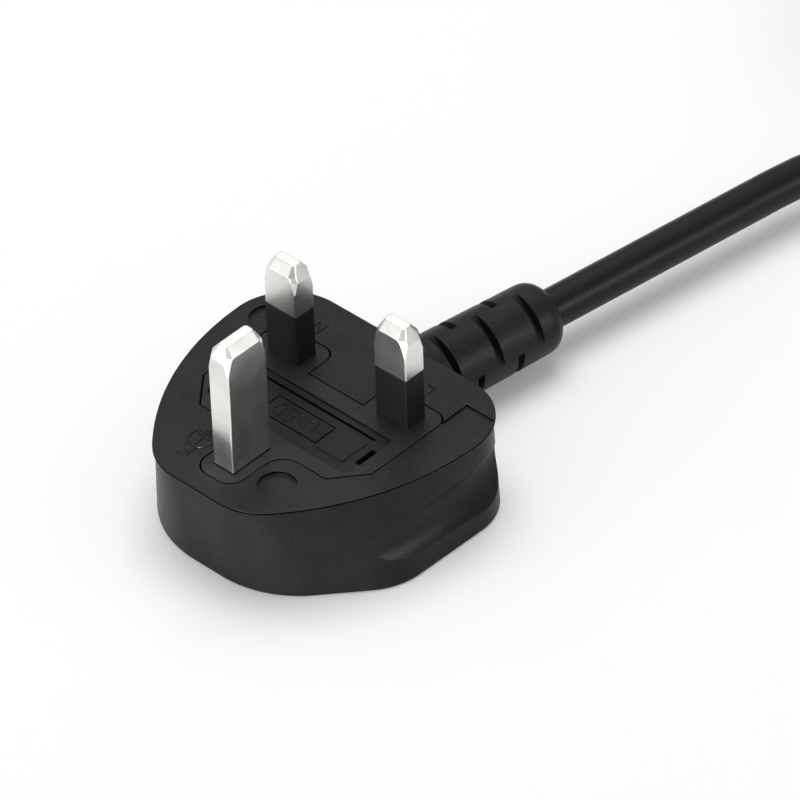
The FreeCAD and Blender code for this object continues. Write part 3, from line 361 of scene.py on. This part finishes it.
# Strokes of each letter on a unit square
letters = {
    "D": [[(0, 0), (0, 1)], np.concatenate([[(0, 1)], bow((0.4, 0.5), (0.6, 0.5), 90, -90), [(0, 0)]])],
    "E": [[(0, 0), (0, 1)], [(0, 1), (1, 1)], [(0, 0.5), (0.8, 0.5)], [(0, 0), (1, 0)]],
    "F": [[(0, 0), (0, 1)], [(0, 1), (1, 1)], [(0, 0.54), (0.8, 0.54)]],
    "L": [[(0, 1), (0, 0)], [(0, 0), (1, 0)]],
    "N": [[(0, 0), (0, 1)], [(0, 1), (1, 0)], [(1, 0), (1, 1)]],
    "S": [np.concatenate([bow((0.5, 0.75), (0.5, 0.25), 20, 270),
                          bow((0.5, 0.25), (0.5, 0.25), 90, -160)])],
    "U": [np.concatenate([[(0, 1)], bow((0.5, 0.35), (0.5, 0.35), 180, 360), [(1, 1)]])],
}


# A letter as strokes on the face, read from the cord's side: start - share * size
def letterStrokes(letter, start, size):
    return [np.asarray(start) - np.asarray(stroke) * size for stroke in letters[letter]]


# A low ridge along a stroke: half width * cos turn across it, height * (1 - cos turn to the fourth) up,
# both drawn in by a quarter circle over each end
def ridge(stroke, level):
    half = marks["width"] / 2
    stroke = np.asarray(stroke, float)
    ends = stroke[[0, -1]] + half * unit(stroke[[0, -1]] - stroke[[1, -2]])
    path = np.concatenate([ends[:1], stroke, ends[1:]])
    reach = np.concatenate([[0], np.cumsum(np.linalg.norm(np.diff(path, axis=0), axis=1))])
    length = reach[-1]
    rounding = half * (1 - np.cos(np.linspace(0, math.pi / 2, marks["endSteps"])))
    middle = np.linspace(half, length - half, max(2, math.ceil(length / marks["step"])))
    station = np.concatenate([rounding[:-1], middle, length - rounding[-2::-1]])
    points = np.stack([np.interp(station, reach, path[:, 0]), np.interp(station, reach, path[:, 1])], 1)
    fromEnd = np.clip(np.minimum(station, length - station) / half, 0, 1)
    shrink = np.sqrt(1 - (1 - fromEnd) ** 2)[:, None]
    run = unit(np.gradient(points, axis=0))
    turn = np.linspace(0, 2 * math.pi, marks["sides"], endpoint=False)
    across = half * np.cos(turn) * shrink
    arch = 1 - np.cos(turn) ** 4
    up = np.where(turn < math.pi, marks["height"], -marks["sunk"]) * arch * shrink
    x = points[:, :1] - run[:, 1:] * across
    y = points[:, 1:] + run[:, :1] * across
    return np.stack([x, y, level + up], -1)


def earthStrokes():
    ring = bow(earthSign["centre"], (earthSign["ring"], earthSign["ring"]), 0, 360)
    middle = earthSign["stem"][0][0]
    bars = [[(middle - half, row), (middle + half, row)] for row, half in earthSign["bars"]]
    return [ring, earthSign["stem"]] + bars


def makeMarks():
    strokes = earthStrokes()
    for letter, start, size in pinLetters:
        strokes += letterStrokes(letter, start, size)
    ridges = [ridge(stroke, faceLevel) for stroke in strokes]
    gridPiece("pinMarks", ridges, faceMarkFinish, "plug")
    strokes = []
    for number, letter in enumerate(fuseWord["word"]):
        start = np.array(fuseWord["start"]) - (number * fuseWord["pitch"], 0)
        strokes += letterStrokes(letter, start, fuseWord["letter"])
    plateLevel = nodeBox("fuse_carrier")[1][2] - marks["underCarrierTop"]
    ridges = [ridge(stroke, plateLevel) for stroke in strokes]
    gridPiece("carrierMarks", ridges, carrierMarkFinish, "fuse_holder")


makeMarks()
print("marks raised")

# Cord: leaves the boot, runs level out of the view and winds into a hank. In mm, and its length in m
cord = {"diameter": 6.5, "length": 1.25, "boot": (4.09, 62.35, 7.5), "straight": (8.62, 93.02, 7.5),
        "open": (13.15, 123.68, 7.5), "bend": (30.0, 152.0, 5.4), "entry": (30.85, 186.0, 4.05),
        "order": 3, "steps": 6, "roundSteps": 8}
hankLow, hankHigh = nodeBox("cord_hank")
tailLow, tailHigh = nodeBox("cord_tail")
hank = {"side": (hankLow[0] + hankHigh[0]) / 2, "outer": (hankHigh[0] - hankLow[0] - cord["diameter"]) / 2,
        "floor": hankLow[2] + cord["diameter"] / 2, "tail": tailHigh[1] - tailLow[1],
        "straightPoints": 2, "foldPoints": 7, "turns": 5}
hank["inner"] = hank["outer"] - cord["diameter"]
hank["near"] = hankLow[1] + hank["outer"] + cord["diameter"] / 2
hank["run"] = hankHigh[1] - hankLow[1] - 2 * hank["outer"] - cord["diameter"]


# One turn as shares of its two straights and its folds: x and y for a radius that may change along the turn
def stadiumStations():
    run, straight = hank["run"], hank["straightPoints"]
    fold = np.linspace(0, math.pi, hank["foldPoints"])
    ahead = np.arange(1, straight + 1) / (straight + 1) * run
    angle = np.concatenate([np.zeros(straight), fold, np.full(straight, math.pi), math.pi + fold])
    along = np.concatenate([ahead, np.full_like(fold, run), run - ahead, np.zeros_like(fold)])
    return angle, along


# A smooth step from 0 to 1: three share squared less two share cubed
def ease(position, start, end):
    share = np.clip((position - start) / (end - start), 0, 1)
    return share * share * (3 - 2 * share)


# Turns: radius and height step from column to column and layer to layer, each step before the one below it.
# Stations are counted in turns, and the first one is left to the cord's entry
def hankPoints():
    angle, along = stadiumStations()
    count = len(angle)
    angle = np.tile(angle, hank["turns"])
    along = np.tile(along, hank["turns"])
    station = np.arange(len(angle)) / count
    step = 1 / count
    straight, fold = hank["straightPoints"], hank["foldPoints"]
    farStart, leftStart, nearStart = np.cumsum([straight, fold, straight]) / count
    inward = ease(station, nearStart, 1 - step)
    outward = ease(station, 2 + farStart, 2 + leftStart)
    inwardTop = ease(station, 3 + nearStart, 4 - step)
    radius = hank["outer"] + (hank["inner"] - hank["outer"]) * (inward - outward + inwardTop)
    second = ease(station, 1 + leftStart - step, 1 + nearStart)
    third = ease(station, 3 - step, 3 + farStart)
    x = hank["side"] + radius * np.cos(angle)
    y = hank["near"] + along + radius * np.sin(angle)
    z = hank["floor"] + (second + third) * cord["diameter"]
    points = np.stack([x, y, z], 1)
    last = (hank["turns"] - 1) * count + straight + fold
    return points[1:last]


def leadPoints():
    start = [cord[key] for key in ("boot", "straight", "open", "bend", "entry")]
    turns = hankPoints()
    end = turns[-1] - np.outer([0.5, 1.0], (0, hank["tail"], 0))
    return np.concatenate([start, turns, end]) * mm


def makeCord():
    points = leadPoints()
    curve = bpy.data.curves.new("leadCord", "CURVE")
    curve.dimensions = "3D"
    spline = curve.splines.new("NURBS")
    spline.points.add(len(points) - 1)
    spline.points.foreach_set("co", np.column_stack([points, np.ones(len(points))]).ravel())
    spline.order_u = cord["order"]
    spline.use_endpoint_u = True
    spline.resolution_u = cord["steps"]
    curve.bevel_depth = cord["diameter"] / 2 * mm
    curve.bevel_resolution = cord["roundSteps"]
    curve.use_fill_caps = True
    piece = bpy.data.objects.new("leadCord", curve)
    bpy.context.scene.collection.objects.link(piece)
    curve.materials.append(finishes["sheath"])
    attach(piece, "plug")
    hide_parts("cord_run", "cord_hank", "cord_tail")
    return piece


# Ties: a hook-and-loop band goes once round each side of the hank and laps over its own start
tie = {"thick": 0.8, "lap": 15.0, "rise": 3.0, "cornerPoints": 9, "stations": 150, "sides": 20, "edge": 0.22}
tie["round"] = (cord["diameter"] + tie["thick"]) / 2


# A rounded rectangle from the middle of its top: four quarter circles joined by the straights between them
def roundedLoop(halfWide, halfHigh, radius):
    corners = np.array([(1, 1), (1, -1), (-1, -1), (-1, 1)]) * (halfWide - radius, halfHigh - radius)
    quarter = np.radians(np.linspace(90, 0, tie["cornerPoints"]))
    angle = quarter[None, :] - np.arange(4)[:, None] * math.pi / 2
    arcs = corners[:, None] + radius * np.stack([np.cos(angle), np.sin(angle)], -1)
    return np.concatenate([[(0, halfHigh)], arcs.reshape(-1, 2), [(0, halfHigh)]])


# A flat section carried round the loop, lifted by one thickness where it laps:
# across = half width * cos turn to a small power, out = half thickness * sin turn to a small power
def tieBand(middle):
    low, high = nodeBox("hank_ties")
    halfHigh = (high[2] - low[2]) / 2 - tie["thick"] / 2
    halfWide = cord["diameter"] + tie["thick"] / 2
    loop = roundedLoop(halfWide, halfHigh, tie["round"])
    path = np.concatenate([loop, loop[1:]])
    reach = np.concatenate([[0], np.cumsum(np.linalg.norm(np.diff(path, axis=0), axis=1))])
    around = reach[-1] / 2
    station = np.linspace(0, around + tie["lap"], tie["stations"])
    points = np.stack([np.interp(station, reach, path[:, 0]), np.interp(station, reach, path[:, 1])], 1)
    run = unit(np.gradient(points, axis=0))
    outward = np.stack([-run[:, 1], run[:, 0]], 1)
    points = points + outward * (tie["thick"] * ease(station, around - tie["rise"], around))[:, None]
    turn = np.linspace(0, 2 * math.pi, tie["sides"], endpoint=False)
    power = tie["edge"]
    across = (high[1] - low[1]) / 2 * np.sign(np.cos(turn)) * np.abs(np.cos(turn)) ** power
    out = tie["thick"] / 2 * np.sign(np.sin(turn)) * np.abs(np.sin(turn)) ** power
    x = middle + points[:, :1] + outward[:, :1] * out
    z = low[2] + halfHigh + tie["thick"] / 2 + points[:, 1:] + outward[:, 1:] * out
    y = np.broadcast_to((low[1] + high[1]) / 2 + across, x.shape)
    band = np.stack([x, y, z], -1)
    ends = np.repeat(band[[0, -1]].mean(axis=1, keepdims=True), tie["sides"], axis=1)
    return np.concatenate([ends[:1], band, ends[1:]])


def makeTies():
    middle = (hank["inner"] + hank["outer"]) / 2
    bands = [tieBand(hank["side"] + side * middle) for side in (-1, 1)]
    piece = gridPiece("hankTies", bands, finishes["tie"], "plug")
    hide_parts("hank_ties")
    return piece


# Far end: the three cores leave the sheath in a loose twist, and each ends in a bare twist of fine wires
tail = {"twist": 150, "spread": 0.35, "droop": 0.9, "stations": 60, "sides": 28, "stripeFrom": 0.3,
        "hidden": 2.0, "conductorWide": 1.1, "wiresAcross": 3, "wires": 6, "wireTwist": 70,
        "wireStations": 24, "wireSides": 10}


# A core's line along the tail: it turns about the sheath's axis by an even pitch, and spreads and droops
# with the square of the way
def tailLine(core, rows):
    coreLow, coreHigh = nodeBox(f"tail_{core}_core")
    axis = (tailLow + tailHigh)[[0, 2]] / 2
    offset = (coreLow + coreHigh)[[0, 2]] / 2 - axis
    share = (tailLow[1] - rows) / (tailLow[1] - coreLow[1])
    free = np.clip(share, 0, None)
    angle = math.atan2(offset[1], offset[0]) + math.radians(tail["twist"]) * free
    reach = np.linalg.norm(offset) * (1 + tail["spread"] * free ** 2)
    return np.stack([axis[0] + reach * np.cos(angle), rows,
                     axis[1] + reach * np.sin(angle) - tail["droop"] * free ** 2], 1)


def makeTailCore(core):
    low, high = nodeBox(f"tail_{core}_core")
    rows = np.linspace(tailLow[1] + tail["hidden"], low[1], tail["stations"])
    grid = tube(tailLine(core, rows), (high[0] - low[0]) / 2, tail["sides"])
    turn = np.linspace(0, 2 * math.pi, tail["sides"], endpoint=False)
    stripes = np.broadcast_to(np.cos(turn) - tail["stripeFrom"], grid.shape[:2])
    piece = gridPiece(f"tail{core.capitalize()}Core", [grid], finishes[f"{core}_insulation"], "plug",
                      np.ascontiguousarray(stripes))
    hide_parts(f"tail_{core}_core")
    return piece


# Fine wires: one along the core's line and the others in a helix about it
def makeTailWires():
    cut = nodeBox("tail_conductors")[0][1]
    bare = nodeBox("tail_line_core")[0][1]
    wireRadius = tail["conductorWide"] / (2 * tail["wiresAcross"])
    rows = np.linspace(bare + tail["hidden"], cut, tail["wireStations"])
    angle = np.radians(tail["wireTwist"]) * (rows - rows[0])
    grids = []
    for core in cores:
        line = tailLine(core, rows)
        grids.append(tube(line, wireRadius, tail["wireSides"]))
        for number in range(tail["wires"]):
            phase = angle + 2 * math.pi * number / tail["wires"]
            swing = 2 * wireRadius * np.stack([np.cos(phase), np.zeros_like(phase), np.sin(phase)], 1)
            grids.append(tube(line + swing, wireRadius, tail["wireSides"]))
    piece = gridPiece("tailWires", grids, finishes["copper"], "plug")
    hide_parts("tail_conductors")
    return piece


lead = makeCord()
onLead = [makeTies()] + [makeTailCore(core) for core in cores] + [makeTailWires()]
print("cord laid")

# Stage: a pale floor that keeps the shadows, soft lamps over and left of the plug, a plain surround, and
# lamps that show in glossy surfaces alone. The floor and the lamps are in m, the camera in mm
stage = {"floorHalf": 3.0, "floorColour": grey(0.95), "floorRoughness": 0.9,
         "floorLift": 0.17, "surround": 0.45}
lamps = {
    "overhead": {"place": (-0.15, 0.15, 1.1), "aim": (0.02, 0.05, 0), "size": (0.8, 0.8), "power": 8.2},
    "left": {"place": (-0.35, -0.75, 0.22), "aim": (0, 0, 0.01), "size": (0.5, 0.3), "power": 1.2},
    "backSheen": {"place": (-0.6, 0.6, 0.85), "aim": (0, 0, 0.01), "size": (0.5, 0.5), "power": 0.8,
                  "glossOnly": True},
    "rightSheen": {"place": (0.725, 0.154, 0.3), "aim": (0, 0.02, 0.01), "size": (0.45, 0.3), "power": 3.4,
                   "glossOnly": True},
    "frontSheen": {"place": (0.17, -0.575, 0.05), "aim": (0, 0, 0.01), "size": (0.06, 0.1), "power": 30.0,
                   "glossOnly": True},
}
photoCamera = {"place": (494.515, -478.035, 607.364), "aim": (8.889, 24.486, faceLevel), "roll": 1.893,
               "lens": 277.54, "sensor": 36, "near": 0.05, "far": 20}


def makeFloor():
    half = stage["floorHalf"]
    mesh = bpy.data.meshes.new("floor")
    corners = [(-half, -half, 0), (half, -half, 0), (half, half, 0), (-half, half, 0)]
    mesh.from_pydata(corners, [], [(0, 1, 2, 3)])
    floor = bpy.data.objects.new("floor", mesh)
    bpy.context.scene.collection.objects.link(floor)
    finish = newFinish("floor")
    finish.surface(Base_Color=stage["floorColour"], Roughness=stage["floorRoughness"], Specular_IOR_Level=0.0)
    finish.whiteWhenSeen(stage["floorLift"])
    mesh.materials.append(finish.owner)


def softbox(name, settings):
    lamp = bpy.data.lights.new(name, "AREA")
    lamp.shape = "RECTANGLE"
    lamp.size, lamp.size_y = settings["size"]
    lamp.energy = settings["power"]
    box = bpy.data.objects.new(name, lamp)
    bpy.context.scene.collection.objects.link(box)
    box.location = settings["place"]
    way = Vector(settings["aim"]) - Vector(settings["place"])
    box.rotation_euler = way.to_track_quat("-Z", "Y").to_euler()
    box.visible_diffuse = not settings.get("glossOnly", False)


def makeSurround():
    world = bpy.data.worlds.new("surround")
    bpy.context.scene.world = world
    finish = Finish(world, "Background")
    finish.surface(Color=grey(1.0), Strength=stage["surround"])


def makeCamera():
    camera = bpy.data.cameras.new("photoCamera")
    camera.lens = photoCamera["lens"]
    camera.sensor_width = photoCamera["sensor"]
    camera.clip_start = photoCamera["near"]
    camera.clip_end = photoCamera["far"]
    eye = bpy.data.objects.new("photoCamera", camera)
    bpy.context.scene.collection.objects.link(eye)
    place = Vector(photoCamera["place"]) * mm
    way = Vector(photoCamera["aim"]) * mm - place
    turn = way.to_track_quat("-Z", "Y").to_matrix().to_4x4()
    roll = Matrix.Rotation(-math.radians(photoCamera["roll"]), 4, "Z")
    eye.matrix_world = Matrix.Translation(place) @ turn @ roll
    bpy.context.scene.camera = eye


makeFloor()
makeSurround()
for name, settings in lamps.items():
    softbox(name, settings)
makeCamera()
bpy.context.scene.view_settings.view_transform = "Standard"
print("stage set")
